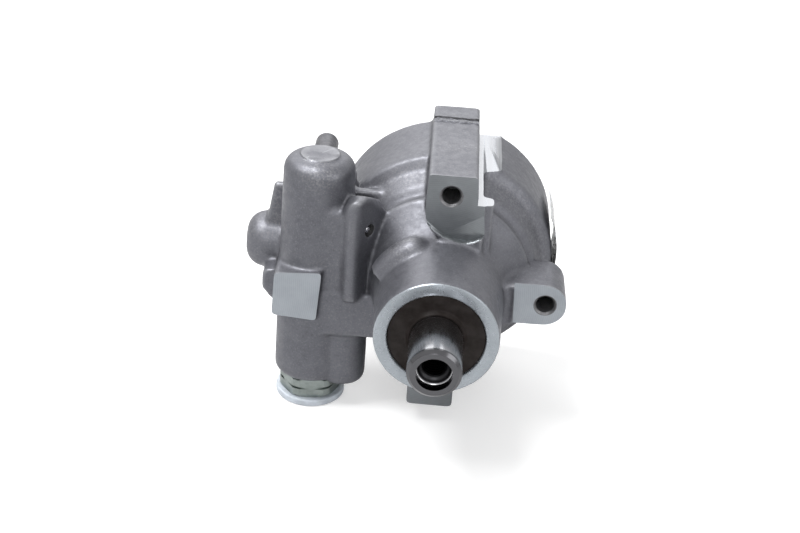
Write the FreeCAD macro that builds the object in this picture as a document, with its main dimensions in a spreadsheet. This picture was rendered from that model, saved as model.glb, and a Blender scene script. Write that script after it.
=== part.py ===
import FreeCAD, Part
import math
import operator
import os

import Sketcher

# Power steering pump: a balanced vane pump in one cast housing, with a flow control valve
# in a barrel on its left. Millimetres. +Z is up, the shaft lies along Y and points to -Y,
# and the origin is on the shaft's axis at the housing's front ring face.

Vector = FreeCAD.Vector
Rotation = FreeCAD.Rotation

SIZES = {
    # drive shaft
    "shaft_radius": 9.525,
    "shaft_reach": 22.9,
    "shaft_chamfer": 1.2,
    "shaft_mouth_radius": 6.35,
    "shaft_mouth_depth": 3.7,
    "shaft_thread_radius": 3.97,
    "shaft_thread_depth": 21.5,
    "journal_radius": 9.3,
    "spline_radius": 8.6,
    "shaft_tail": 3.4,
    "snap_groove_depth": 0.8,
    "snap_ring_width": 1.2,
    "snap_ring_height": 2.3,
    # running and sliding clearances
    "running_gap": 0.03,
    "sliding_gap": 0.02,
    "seating_gap": 0.03,
    # front of the housing
    "ring_radius": 22.5,
    "ring_chamfer": 0.6,
    "seal_radius": 17.5,
    "seal_depth": 8.6,
    "seal_recess": 0.9,
    "seal_wall": 1.7,
    "bushing_wall": 1.8,
    "bushing_start": 12.0,
    "bushing_length": 30.0,
    "garter_wire": 0.7,
    # the housing's round body
    "bell_radius": 24.0,
    "bell_end": 33.5,
    "bell_blend": 14.0,
    "flare_radius": 33.4,
    "flare_end": 44.4,
    "rim_width": 1.5,
    "waist_drop": 0.7,
    "waist_length": 3.4,
    "waist_rise": 2.6,
    "waist_slope": 2.6,
    "cone_radius": 38.4,
    "cone_end": 58.8,
    "body_radius": 42.5,
    "shoulder_length": 3.4,
    "shoulder_round": 1.8,
    "body_length": 94.4,
    # gallery rib round the upper left of the bell
    "rib_place": 27.0,
    "rib_ring": 21.5,
    "rib_round": 6.5,
    "rib_start": 122.0,
    "rib_sweep": 34.0,
    # mounting plane and the pads that share it
    "mount_plane": 31.3,
    "block_left": 7.2,
    "block_right": 10.35,
    "block_foot": 13.8,
    "block_top": 48.8,
    "block_corner": 11.0,
    "bead_place": 81.6,
    "bead_width": 2.8,
    "bead_height": 0.6,
    "flat_height": 37.9,
    "strip_right": 12.9,
    "hook_right": 16.8,
    "hook_length": 6.6,
    "ear_across": 38.8,
    "ear_up": -0.6,
    "ear_round": 8.35,
    "ear_back": 51.5,
    "ear_lead": 3.2,
    "tab_left": 8.9,
    "tab_right": 8.5,
    "tab_bottom": 48.7,
    "tab_back": 72.0,
    "bolt_hole_radius": 3.4,
    "bolt_hole_depth": 16.0,
    "bolt_hole_mouth": 4.2,
    "drill_web": 0.5,
    "top_hole_across": 1.3,
    "top_hole_up": 40.7,
    # left side of the casting
    "pad_left": 61.5,
    "pad_right": 44.4,
    "pad_top": 4.4,
    "pad_bottom": 14.7,
    "pad_skew": 0.6,
    "pad_back": 50.0,
    "deck_front": 33.5,
    "deck_top": 4.5,
    "deck_bottom": 22.7,
    "deck_right": 18.0,
    "deck_back": 60.0,
    "boss_across": 35.3,
    "boss_back": 44.0,
    "boss_radius": 9.2,
    "boss_bottom": 46.3,
    "pillar_across": 32.4,
    "pillar_front": 29.0,
    "pillar_left": 6.8,
    "pillar_left_back": 7.4,
    "pillar_right": 10.9,
    "pillar_right_back": 16.0,
    "pillar_back": 49.0,
    "pillar_top": 35.4,
    "pillar_round": 3.4,
    "pillar_shoulder": 5.0,
    "web_front": 34.4,
    "web_low": 28.4,
    "web_high": 32.4,
    "web_crest": 41.5,
    "web_back": 52.0,
    "web_fall": 7.4,
    "slab_left": 68.0,
    "slab_draft": 3.4,
    "slab_front": 55.0,
    "slab_crest": 2.6,
    "slab_back": 73.0,
    "slab_top": 28.6,
    "slab_bottom": 13.0,
    "side_boss_reach": 75.0,
    "side_boss_place": 60.5,
    "side_boss_up": 2.2,
    "side_boss_radius": 10.8,
    "side_boss_round": 7.2,
    "step_left": 66.8,
    "step_front": 41.0,
    "step_top": -0.6,
    "step_bottom": 11.5,
    # valve barrel
    "valve_across": 47.3,
    "valve_back": 47.5,
    "barrel_foot_radius": 14.2,
    "barrel_head_radius": 13.2,
    "barrel_bottom": 44.5,
    "barrel_top": 45.2,
    "barrel_round": 6.5,
    "dome_disc_radius": 7.3,
    "dome_disc_height": 0.8,
    "valve_bore": 8.0,
    "valve_bore_top": 36.0,
    "union_bore": 9.0,
    "union_bore_depth": 14.5,
    # flow control valve
    "valve_length": 28.0,
    "valve_rest": 16.0,
    "valve_neck_radius": 6.0,
    "valve_neck_low": 12.0,
    "valve_neck_length": 7.0,
    "valve_cup_radius": 6.2,
    "valve_cup_depth": 6.0,
    "valve_spring_radius": 5.2,
    "valve_spring_wire": 0.65,
    "valve_spring_turns": 7.0,
    "relief_bore": 3.4,
    "relief_depth": 16.5,
    "relief_seat_length": 4.0,
    "relief_hole": 1.3,
    "relief_ball_radius": 2.2,
    "relief_spring_radius": 2.1,
    "relief_spring_wire": 0.35,
    "relief_spring_turns": 5.0,
    # outlet union, its seal and the shipping cap
    "hex_flats": 22.0,
    "hex_corner": 12.0,
    "hex_height": 8.2,
    "spot_gap": 0.6,
    "hex_turn": 7.0,
    "hex_groove": 11.05,
    "hex_groove_width": 1.0,
    "union_collar": 10.8,
    "union_collar_height": 0.7,
    "union_mouth": 6.6,
    "union_mouth_depth": 7.6,
    "union_way": 4.0,
    "union_nozzle": 2.2,
    "union_nozzle_length": 5.0,
    "union_nose": 7.0,
    "union_ring_wire": 0.9,
    "cap_radius": 13.4,
    "cap_height": 2.8,
    "cap_stem": 6.5,
    "cap_stem_length": 6.5,
    "cap_wall": 1.5,
    # ball plug of the cross drilling
    "plug_up": 21.5,
    "plug_along": 9.4,
    "plug_radius": 2.0,
    "plug_recess": 2.6,
    "cross_hole": 1.5,
    # return tube
    "tube_across": 48.0,
    "tube_up": 31.9,
    "tube_radius": 4.5,
    "tube_wall": 0.9,
    "tube_spigot": 4.2,
    "tube_seat": 61.0,
    "tube_end": 88.0,
    "tube_boss": 7.4,
    "tube_boss_start": 50.0,
    "tube_boss_end": 66.0,
    "gallery_radius": 3.6,
    # pumping group
    "chamber_start": 54.0,
    "chamber_radius": 31.5,
    "thrust_plate_width": 4.5,
    "pump_ring_width": 18.0,
    "pressure_plate_width": 6.0,
    "ring_wall": 7.1,
    "ring_rise": 2.95,
    "rotor_gap": 0.2,
    "side_gap": 0.02,
    "vane_width": 1.76,
    "vane_share": 0.3765,
    "vane_spare": 0.6,
    "slot_root_radius": 1.4,
    "dowel_radius": 2.0,
    "dowel_inset": 3.9,
    "port_radius": 3.0,
    "port_inset": 8.7,
    "plate_dish": 9.0,
    # rear cover
    "cover_bore_step": 2.9,
    "cover_bore_lead": 5.0,
    "cover_inset": 9.4,
    "cover_width": 6.3,
    "cover_dish_radius": 17.0,
    "cover_dish_depth": 3.6,
    "plate_spring_radius": 13.0,
    "plate_spring_wire": 0.75,
    "plate_spring_turns": 2.5,
    "cover_ring_wire": 1.0,
    "cover_oring_wire": 1.2,
    "plate_oring_wire": 1.1,
    # label on the right side of the body
    "label_start": 62.0,
    "label_length": 24.0,
    "label_thick": 0.3,
    "label_half_sweep": 24.0,
    "label_slack": 0.8,
    "label_shift": 0.44,
    "label_lift": 3.0,
}
VANES = 10


class Size:
    """A length known both as a number and as a formula on the sheet."""

    def __init__(self, value, text):
        self.value = value
        self.text = text

    def __add__(self, other):
        return joined(self, "+", other)

    def __radd__(self, other):
        return joined(other, "+", self)

    def __sub__(self, other):
        return joined(self, "-", other)

    def __rsub__(self, other):
        return joined(other, "-", self)

    def __mul__(self, other):
        return joined(self, "*", other)

    def __rmul__(self, other):
        return joined(other, "*", self)

    def __truediv__(self, other):
        return joined(self, "/", other)

    def __neg__(self):
        return joined(0, "-", self)


SIGNS = {"+": operator.add, "-": operator.sub, "*": operator.mul, "/": operator.truediv}


def as_size(value):
    return value if isinstance(value, Size) else Size(value, repr(value))


def joined(left, sign, right):
    left = as_size(left)
    right = as_size(right)
    value = SIGNS[sign](left.value, right.value)
    return Size(value, f"({left.text} {sign} {right.text})")


doc = FreeCAD.newDocument("steering_pump")
sheet = doc.addObject("Spreadsheet::Sheet", "sizes")
for row, (alias, number) in enumerate(SIZES.items(), 1):
    sheet.set(f"A{row}", alias)
    sheet.set(f"B{row}", str(number))
    sheet.setAlias(f"B{row}", alias)
doc.recompute()


class Sheet:
    """Reads a size by its name, as in s.shaft_radius."""

    def __getattr__(self, alias):
        return Size(float(sheet.get(alias)), f"sizes.{alias}")


s = Sheet()

# What follows the pump chamber's radius or the body's length.
ring_major = s.chamber_radius - s.ring_wall
ring_minor = ring_major - s.ring_rise
rotor_radius = ring_minor - s.rotor_gap
vane_height = rotor_radius * s.vane_share
dowel_place = s.chamber_radius - s.dowel_inset
port_place = s.chamber_radius - s.port_inset
cover_bore = s.chamber_radius + s.cover_bore_step
cover_start = s.body_length - s.cover_inset
cover_bore_start = cover_start - s.cover_bore_lead

ALONG_Y = Rotation(Vector(1, 0, 0), -90)
ALONG_X = Rotation(Vector(0, 1, 0), 90)
ALONG_MINUS_X = Rotation(Vector(0, 1, 0), -90)
UPRIGHT = Rotation()


def bind(thing, **values):
    """Binds properties of an object to sizes."""
    for name, value in values.items():
        thing.setExpression(name, as_size(value).text)
    return thing


def place(thing, x=0, y=0, z=0, turn=UPRIGHT):
    """Puts an object at a place that follows the sheet, turned as given."""
    thing.Placement = FreeCAD.Placement(Vector(), turn)
    for axis, value in zip("xyz", (x, y, z)):
        size = as_size(value)
        if size.text != "0":
            thing.setExpression(f"Placement.Base.{axis}", size.text)
    return thing


def origin_plane(body, role):
    return next(f for f in body.Origin.OriginFeatures if f.Role == role)


def fix_point(sketch, geometry, end, across, up):
    """Fixes a point of a sketch at a place that follows the sheet."""
    for kind, axis, value in (("DistanceX", -2, across), ("DistanceY", -1, up)):
        size = as_size(value)
        if size.text == "0":
            sketch.addConstraint(Sketcher.Constraint("PointOnObject", geometry, end, axis))
            continue
        rule = Sketcher.Constraint(kind, -1, 1, geometry, end, size.value)
        index = sketch.addConstraint(rule)
        sketch.setExpression(f"Constraints[{index}]", size.text)


def outline(sketch, corners):
    """Draws a closed outline through corners, each (across, up) or (across, up, round)."""
    points = [Vector(as_size(c[0]).value, as_size(c[1]).value, 0) for c in corners]
    count = len(corners)
    entries = []
    arcs = {}
    for i, corner in enumerate(corners):
        here = points[i]
        if len(corner) == 2:
            entries.append((here, here))
            continue
        back = (points[i - 1] - here).normalize()
        ahead = (points[(i + 1) % count] - here).normalize()
        half = back.getAngle(ahead) / 2
        radius = as_size(corner[2]).value
        reach = radius / math.tan(half)
        first = here + back * reach
        last = here + ahead * reach
        centre = here + (back + ahead).normalize() * (radius / math.sin(half))
        entries.append((first, last))
        turns_left = back.cross(ahead).z < 0
        start, stop = (first, last) if turns_left else (last, first)
        angles = [math.atan2((p - centre).y, (p - centre).x) for p in (start, stop)]
        circle = Part.Circle(centre, Vector(0, 0, 1), radius)
        arcs[i] = (Part.ArcOfCircle(circle, *angles), turns_left)
    lines = []
    for i in range(count):
        segment = Part.LineSegment(entries[i][1], entries[(i + 1) % count][0])
        lines.append(sketch.addGeometry(segment, False))
    for i, corner in enumerate(corners):
        before, after = lines[i - 1], lines[i]
        if i not in arcs:
            sketch.addConstraint(Sketcher.Constraint("Coincident", before, 2, after, 1))
            fix_point(sketch, after, 1, corner[0], corner[1])
            continue
        arc, turns_left = arcs[i]
        bend = sketch.addGeometry(arc, False)
        near, far = (1, 2) if turns_left else (2, 1)
        sketch.addConstraint(Sketcher.Constraint("Tangent", before, 2, bend, near))
        sketch.addConstraint(Sketcher.Constraint("Tangent", bend, far, after, 1))
        radius = as_size(corner[2])
        index = sketch.addConstraint(Sketcher.Constraint("Radius", bend, radius.value))
        sketch.setExpression(f"Constraints[{index}]", radius.text)
        tip = sketch.addGeometry(Part.Point(points[i]), True)
        fix_point(sketch, tip, 1, corner[0], corner[1])
        sketch.addConstraint(Sketcher.Constraint("PointOnObject", tip, 1, before))
        sketch.addConstraint(Sketcher.Constraint("PointOnObject", tip, 1, after))


def drawn(name, role, corners):
    """A body with one sketch on the origin plane of the given role."""
    body = doc.addObject("PartDesign::Body", name)
    sketch = body.newObject("Sketcher::SketchObject", name + "_sketch")
    sketch.AttachmentSupport = [(origin_plane(body, role), "")]
    sketch.MapMode = "FlatFace"
    outline(sketch, corners)
    return body, sketch


def revolved(name, role, corners, x=0, y=0, z=0, turn=UPRIGHT):
    """A turned piece: its half outline goes round the plane's upright axis."""
    body, sketch = drawn(name, role, corners)
    turned = body.newObject("PartDesign::Revolution", name + "_turned")
    turned.Profile = sketch
    turned.ReferenceAxis = (sketch, ["V_Axis"])
    turned.Angle = 360
    return place(body, x, y, z, turn)


def turned_y(name, corners, **where):
    """A piece turned about the shaft's direction, from (radius, y) corners."""
    return revolved(name, "XY_Plane", corners, **where)


def turned_z(name, corners, **where):
    """A piece turned about an upright axis, from (radius, z) corners."""
    return revolved(name, "XZ_Plane", corners, **where)


def padded(name, role, corners, length, reverse=False, **where):
    """A prism: its outline carried along the plane's normal."""
    body, sketch = drawn(name, role, corners)
    pad = body.newObject("PartDesign::Pad", name + "_pad")
    pad.Profile = sketch
    pad.Reversed = reverse
    bind(pad, Length=length)
    return place(body, **where)


def prism_y(name, corners, front, back):
    """A prism from (x, z) corners, between two places along the shaft."""
    return padded(name, "XZ_Plane", corners, back - front, True, y=front)


def prism_x(name, corners, left, right):
    """A prism from (y, z) corners, between two places across."""
    return padded(name, "YZ_Plane", corners, right - left, x=left)


def prism_z(name, corners, low, high):
    """A prism from (x, y) corners, between two heights."""
    return padded(name, "XY_Plane", corners, high - low, z=low)


def rectangle(left, right, low, high, *rounding):
    """Corners of a rectangle, all with the same rounding if one is given."""
    return [
        (left, low, *rounding),
        (right, low, *rounding),
        (right, high, *rounding),
        (left, high, *rounding),
    ]


def cylinder(name, radius, length, x=0, y=0, z=0, turn=UPRIGHT):
    rod = doc.addObject("Part::Cylinder", name)
    bind(rod, Radius=radius, Height=length)
    return place(rod, x, y, z, turn)


def cylinder_y(name, radius, front, back, x=0, z=0):
    return cylinder(name, radius, back - front, x, front, z, ALONG_Y)


def cylinder_z(name, radius, low, high, x=0, y=0):
    return cylinder(name, radius, high - low, x, y, low)


def ring_y(name, radius, wire, y, sweep=360, turn=ALONG_Y):
    """A torus about the shaft's axis."""
    hoop = doc.addObject("Part::Torus", name)
    bind(hoop, Radius1=radius, Radius2=wire, Angle3=sweep)
    return place(hoop, y=y, turn=turn)


def fused(name, pieces):
    union = doc.addObject("Part::MultiFuse", name)
    union.Shapes = pieces
    union.Refine = True
    return union


def shared(name, pieces):
    """What all the pieces have in common."""
    overlap = doc.addObject("Part::MultiCommon", name)
    overlap.Shapes = pieces
    return overlap


def less(name, base, tools):
    """The base with the tools cut out of it."""
    tool = tools[0] if len(tools) == 1 else fused(name + "_tools", tools)
    remainder = doc.addObject("Part::Cut", name)
    remainder.Base = base
    remainder.Tool = tool
    return remainder


def coil(name, radius, wire, length, turns, x=0, y=0, z=0, turn=UPRIGHT):
    """A coil spring: a round wire swept along a helix of the given overall length."""
    helix = doc.addObject("Part::Helix", name + "_helix")
    rise = length - 2 * wire
    bind(helix, Radius=radius, Height=rise, Pitch=rise / turns)
    section = doc.addObject("Part::Circle", name + "_section")
    bind(section, Radius=wire)
    place(section, x=radius, turn=Rotation(Vector(1, 0, 0), 90))
    spring = doc.addObject("Part::Sweep", name)
    spring.Sections = [section]
    spring.Spine = (helix, ["Edge1"])
    spring.Solid = True
    spring.Frenet = True
    return place(spring, x, y, z, turn)


def cast_shell():
    """The outside of the casting, before any machining."""
    rim_end = s.flare_end + s.rim_width
    waist_radius = s.flare_radius - s.waist_drop
    waist_end = rim_end + s.waist_length
    shoulder_end = s.cone_end + s.shoulder_length
    core = turned_y("casting_core", [
        (0, 0),
        (s.ring_radius - s.ring_chamfer, 0),
        (s.ring_radius, s.ring_chamfer),
        (s.bell_radius, s.bell_end, s.bell_blend),
        (s.flare_radius, s.flare_end, 0.8),
        (s.flare_radius, rim_end),
        (waist_radius, rim_end + s.waist_drop),
        (waist_radius, waist_end),
        (waist_radius + s.waist_rise, waist_end + s.waist_slope, 1.5),
        (s.cone_radius, s.cone_end),
        (s.body_radius, shoulder_end, s.shoulder_round),
        (s.body_radius, s.body_length),
        (0, s.body_length),
    ])
    rib_turn = Rotation(Vector(0, -1, 0), s.rib_start.value) * Rotation(Vector(1, 0, 0), 90)
    rib = ring_y("gallery_rib", s.rib_ring, s.rib_round, s.rib_place, s.rib_sweep, rib_turn)
    rib_end = doc.addObject("Part::Sphere", "gallery_rib_end")
    bind(rib_end, Radius=s.rib_round - 0.1)
    end_angle = math.radians(s.rib_start.value - 2.5)
    end_across = s.rib_ring.value * math.cos(end_angle)
    end_up = s.rib_ring.value * math.sin(end_angle)
    place(rib_end, end_across, s.rib_place, end_up, ALONG_Y)
    return [core, rib, rib_end, *mount_blocks(), *left_side()]


def mount_blocks():
    """The top block, the hook, the right ear and the bottom tab."""
    block = prism_y("top_block", [
        (-s.block_left, s.block_top, 0.8),
        (-s.block_left - 0.6, s.bell_radius - 0.6, s.block_corner),
        (s.block_right / 2, s.bell_radius - 0.6),
        (s.block_right / 2, s.bell_radius - 7),
        (s.block_foot, s.bell_radius - 7),
        (s.block_foot, s.bell_radius + 2),
        (s.strip_right, s.flat_height),
        (s.block_right + 0.6, s.flat_height),
        (s.block_right, s.block_top, 0.8),
    ], s.mount_plane, s.body_length)
    bead_end = s.bead_place + s.bead_width
    bead = prism_x("top_block_bead", [
        (s.bead_place, s.block_top - 1),
        (s.bead_place, s.block_top),
        (bead_end - 1.2, s.block_top + s.bead_height),
        (bead_end, s.block_top + s.bead_height, 0.2),
        (bead_end, s.block_top - 1),
    ], -s.block_left + 0.4, s.block_right - 0.4)
    hook_start = s.mount_plane + 0.6
    hook = prism_z("hook", [
        (s.block_foot - 3, hook_start),
        (s.hook_right, hook_start, 1.2),
        (s.hook_right, hook_start + s.hook_length, 1.8),
        (s.block_foot - 3, hook_start + s.hook_length),
    ], s.bell_radius - 8, s.flat_height)
    ear_reach = s.ear_across + s.ear_round
    ear_low = s.ear_up - s.ear_round
    ear_high = s.ear_up + s.ear_round
    ear = prism_y("right_ear", [
        (s.bell_radius - 5, ear_low),
        (ear_reach, ear_low, s.ear_round * 0.98),
        (ear_reach, ear_high, s.ear_round * 0.98),
        (s.bell_radius - 5, ear_high),
    ], s.mount_plane, s.ear_back)
    tab = prism_y("bottom_tab", [
        (-s.tab_left, -s.tab_bottom, 1.2),
        (s.tab_right, -s.tab_bottom, 0.4),
        (s.tab_right, -s.bell_radius + 4),
        (-s.tab_left, -s.bell_radius + 4),
    ], s.mount_plane, s.tab_back)
    ear_lead = prism_z("right_ear_lead", [
        (s.bell_radius - 6, s.mount_plane - s.ear_lead),
        (s.bell_radius - 0.4, s.mount_plane - s.ear_lead),
        (s.bell_radius + s.ear_lead, s.mount_plane - 0.3),
        (s.bell_radius + s.ear_lead, s.mount_plane + 4),
        (s.bell_radius - 6, s.mount_plane + 4),
    ], ear_low + 0.3, ear_high - 0.6)
    return [block, bead, hook, ear, ear_lead, tab]


def left_side():
    """The valve barrel and everything that ties it to the round body."""
    disc_top = s.barrel_top + s.dome_disc_height
    barrel = turned_z("valve_barrel", [
        (0, -s.barrel_bottom),
        (s.barrel_foot_radius - 0.8, -s.barrel_bottom),
        (s.barrel_foot_radius, -s.barrel_bottom + 0.8),
        (s.barrel_head_radius, s.barrel_top, s.barrel_round - 1.2),
        (s.dome_disc_radius, s.barrel_top),
        (s.dome_disc_radius, disc_top, 0.3),
        (0, disc_top),
    ], x=-s.valve_across, y=s.valve_back)
    pad = prism_y("left_pad", [
        (-s.pad_left + 0.3, s.pad_top - s.pad_skew, 1.2),
        (-s.pad_left - 0.3, -s.pad_bottom + s.pad_skew, 1.2),
        (-s.pad_right - 0.7, -s.pad_bottom - s.pad_skew),
        (-s.pad_right + 0.7, s.pad_top + s.pad_skew),
    ], s.mount_plane, s.pad_back)
    deck = prism_y("deck", rectangle(
        -s.valve_across, -s.deck_right, -s.deck_bottom, -s.deck_top,
    ), s.deck_front, s.deck_back)
    boss = turned_z("lower_boss", [
        (0, -s.boss_bottom),
        (s.boss_radius, -s.boss_bottom, 2.5),
        (s.boss_radius, -s.deck_top - 1),
        (0, -s.deck_top - 1),
    ], x=-s.boss_across, y=s.boss_back)
    pillar_foot = -s.deck_top - 2
    pillar_left = -s.pillar_across - s.pillar_left
    pillar_right = -s.pillar_across + s.pillar_right
    pillar_plan = prism_z("pillar_plan", [
        (-s.pillar_across, s.pillar_front, s.pillar_round),
        (pillar_right, s.pillar_front + s.pillar_right_back),
        (pillar_right - 5, s.pillar_back),
        (pillar_left, s.pillar_back),
        (pillar_left, s.pillar_front + s.pillar_left_back, 1.0),
    ], pillar_foot, s.pillar_top + 1)
    pillar_face = prism_y("pillar_face", [
        (pillar_left - 1, pillar_foot),
        (pillar_right + 1, pillar_foot),
        (pillar_right + 0.5, s.pillar_top - 11.5, 3.0),
        (pillar_right - 7, s.pillar_top, s.pillar_shoulder),
        (pillar_left + 4.8, s.pillar_top, s.pillar_shoulder),
        (pillar_left - 1, s.pillar_top - 13),
    ], s.pillar_front - 1, s.pillar_back + 1)
    pillar_side = prism_x("pillar_side", [
        (s.pillar_front - 1, pillar_foot),
        (s.pillar_front - 1, s.pillar_top, 4.0),
        (s.pillar_front + 8, s.pillar_top, 4.0),
        (s.pillar_back + 1, s.pillar_top - 7.5),
        (s.pillar_back + 1, pillar_foot),
    ], pillar_left - 1, pillar_right + 2)
    pillar = shared("pillar", [pillar_plan, pillar_face, pillar_side])
    web = prism_x("shoulder_web", [
        (s.web_front, pillar_foot),
        (s.web_front, s.web_low, 2.5),
        (s.web_crest, s.web_high, 2.5),
        (s.web_back, s.web_high - s.web_fall),
        (s.web_back, pillar_foot),
    ], -s.valve_across, -s.pillar_across - 2)
    slab_face = prism_y("inlet_slab_face", [
        (-s.slab_left + s.slab_draft, s.slab_top, 1.5),
        (-s.slab_left, s.side_boss_up + 5, 5.0),
        (-s.slab_left + 7, -s.slab_bottom, 3.0),
        (-s.bell_radius, -s.slab_bottom),
        (-s.bell_radius, s.slab_top),
    ], s.slab_front, s.slab_back)
    slab_side = prism_x("inlet_slab_side", [
        (s.slab_front, -s.slab_bottom),
        (s.slab_front, s.slab_top, 1.5),
        (s.slab_front + s.slab_crest, s.slab_top, 1.5),
        (s.slab_back, s.side_boss_up + s.side_boss_radius),
        (s.slab_back, -s.slab_bottom),
    ], -s.slab_left - 1, -s.bell_radius)
    slab = shared("inlet_slab", [slab_face, slab_side])
    side_boss = turned_z("side_boss", [
        (0, s.valve_across),
        (s.side_boss_radius, s.valve_across),
        (s.side_boss_radius, s.side_boss_reach, s.side_boss_round),
        (0, s.side_boss_reach),
    ], y=s.side_boss_place, z=s.side_boss_up, turn=ALONG_MINUS_X)
    step = prism_y("side_step", [
        (-s.step_left, s.step_top, 3.0),
        (-s.step_left, -s.step_bottom + 3, 2.0),
        (-s.step_left + 4, -s.step_bottom - 2),
        (-s.valve_across, -s.step_bottom - 2),
        (-s.valve_across, s.step_top),
    ], s.step_front, s.slab_front + 2)
    tube_boss = cylinder_y("tube_boss", s.tube_boss, s.tube_boss_start, s.tube_boss_end,
                           -s.tube_across, s.tube_up)
    tube_web = prism_y("tube_web", rectangle(
        -s.tube_across - s.tube_boss, -s.pillar_across - 2, 0, s.tube_up,
    ), s.cone_end, s.tube_boss_end)
    return [barrel, pad, deck, boss, pillar, web, slab, side_boss, step, tube_boss, tube_web]


def stack():
    """Places along the shaft where the pumping group's pieces meet."""
    ring_start = s.chamber_start + s.thrust_plate_width
    plate_start = ring_start + s.pump_ring_width
    plate_end = plate_start + s.pressure_plate_width
    return ring_start, plate_start, plate_end


def pillar_normal():
    """Outward direction of the pillar's right face, and its corner at the front."""
    across = s.pillar_right.value
    back = s.pillar_right_back.value
    along = Vector(across, back, 0).normalize()
    return along, Vector(along.y, -along.x, 0)


def plug_point():
    """Where the cross drilling's axis meets the pillar's right face."""
    along, normal = pillar_normal()
    corner = Vector(-s.pillar_across.value, s.pillar_front.value, s.plug_up.value)
    return corner + along * s.plug_along.value


def drill(name, radius, start, end):
    """A round tool between two fixed points."""
    rod = doc.addObject("Part::Cylinder", name)
    bind(rod, Radius=radius)
    rod.Height = (end - start).Length
    rod.Placement = FreeCAD.Placement(start, Rotation(Vector(0, 0, 1), end - start))
    return rod


def threaded_hole(name, x, z):
    """A blind tapped hole with a countersunk mouth, sunk from the mounting plane."""
    mouth = s.bolt_hole_mouth - s.bolt_hole_radius
    depth = s.bolt_hole_depth
    return turned_y(name, [
        (0, -1),
        (s.bolt_hole_mouth, -1),
        (s.bolt_hole_mouth, 0),
        (s.bolt_hole_radius, mouth),
        (s.bolt_hole_radius, depth),
        (s.drill_web, depth + (s.bolt_hole_radius - s.drill_web) * 0.58),
        (0, depth + (s.bolt_hole_radius - s.drill_web) * 0.58),
    ], x=x, y=s.mount_plane, z=z)


def front_bores():
    """Seal seat, bushing seat and shaft way, turned as one tool."""
    bushing = s.journal_radius + s.running_gap + s.bushing_wall
    return turned_y("front_bores", [
        (0, -1),
        (s.seal_radius + 0.5, -1),
        (s.seal_radius + 0.5, 0),
        (s.seal_radius, 0.5),
        (s.seal_radius, s.seal_depth),
        (bushing + 1.5, s.seal_depth),
        (bushing + 1.5, s.bushing_start),
        (bushing, s.bushing_start),
        (bushing, s.bushing_start + s.bushing_length),
        (s.journal_radius + 0.8, s.bushing_start + s.bushing_length),
        (s.journal_radius + 0.8, s.chamber_start + 1),
        (0, s.chamber_start + 1),
    ])


def rear_bores():
    """Pump chamber, cover seat and their ring grooves, turned as one tool."""
    ring_start, plate_start, plate_end = stack()
    plate_groove = plate_start + 2
    plate_depth = s.chamber_radius + 2 * s.plate_oring_wire + s.seating_gap
    plate_width = 2.4 * s.plate_oring_wire
    cover_groove = cover_start + 1.2
    cover_depth = cover_bore + 2 * s.cover_oring_wire + s.seating_gap
    cover_width = 2.4 * s.cover_oring_wire
    wire_groove = cover_start + s.cover_width
    wire_depth = cover_bore + 1.4 * s.cover_ring_wire
    wire_width = 2.1 * s.cover_ring_wire
    return turned_y("rear_bores", [
        (0, s.chamber_start),
        (s.chamber_radius, s.chamber_start),
        (s.chamber_radius, plate_groove),
        (plate_depth, plate_groove),
        (plate_depth, plate_groove + plate_width),
        (s.chamber_radius, plate_groove + plate_width),
        (s.chamber_radius, cover_bore_start + 1.6),
        (cover_bore, cover_bore_start + 1.6),
        (cover_bore, cover_groove),
        (cover_depth, cover_groove),
        (cover_depth, cover_groove + cover_width),
        (cover_bore, cover_groove + cover_width),
        (cover_bore, wire_groove),
        (wire_depth, wire_groove),
        (wire_depth, wire_groove + wire_width),
        (cover_bore, wire_groove + wire_width),
        (cover_bore + 0.6, s.body_length + 1),
        (0, s.body_length + 1),
    ])


def valve_bores():
    """Valve bore and the threaded mouth for the outlet union, turned as one tool."""
    mouth = -s.barrel_bottom
    ring_seat = s.union_bore + 2 * s.union_ring_wire + s.seating_gap
    ring_top = mouth + 2 * s.union_ring_wire + s.seating_gap
    spot_foot = mouth - s.boss_bottom
    return turned_z("valve_bores", [
        (0, spot_foot),
        (s.hex_corner + s.spot_gap, spot_foot),
        (s.hex_corner + s.spot_gap, mouth),
        (ring_seat, mouth),
        (ring_seat, ring_top),
        (s.union_bore, ring_top + 0.2),
        (s.union_bore, mouth + s.union_bore_depth),
        (s.valve_bore, mouth + s.union_bore_depth + 1),
        (s.valve_bore, s.valve_bore_top),
        (s.drill_web, s.valve_bore_top + 2),
        (0, s.valve_bore_top + 2),
    ], x=-s.valve_across, y=s.valve_back)


def galleries():
    """Drilled ways: cross drilling, inlet gallery, return way and discharge way."""
    along, normal = pillar_normal()
    mouth = plug_point()
    inward = mouth - normal * (s.plug_recess.value + s.plug_radius.value * 2)
    bore_wall = mouth - normal * (s.valve_across.value - s.pillar_across.value + 2)
    seat = drill("plug_seat", s.plug_radius, mouth + normal * 4, inward)
    cross = drill("cross_hole_tool", s.cross_hole, mouth, bore_wall)
    inlet = cylinder("inlet_gallery", s.gallery_radius, s.slab_left - s.chamber_radius + 4,
                     -s.slab_left + 1, s.side_boss_place + 1, s.side_boss_up, ALONG_X)
    down = cylinder_z("return_drop", s.gallery_radius, s.side_boss_up, s.tube_up,
                      -s.tube_across, s.side_boss_place + 1)
    tube_seat = cylinder_y("tube_seat_tool", s.tube_spigot + s.seating_gap, s.tube_seat,
                           s.tube_boss_end + 1, -s.tube_across, s.tube_up)
    tube_way = cylinder_y("tube_way", s.tube_radius - s.tube_wall, s.side_boss_place,
                          s.tube_seat + 1, -s.tube_across, s.tube_up)
    height = -s.deck_top.value - 4
    rear = Vector(-(cover_bore.value - 1.5), cover_bore_start.value + 3, height)
    front = Vector(-s.valve_across.value + 3, s.valve_back.value + 2, height)
    discharge = drill("discharge_way", s.port_radius, rear, front)
    return [seat, cross, inlet, down, tube_seat, tube_way, discharge]


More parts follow.
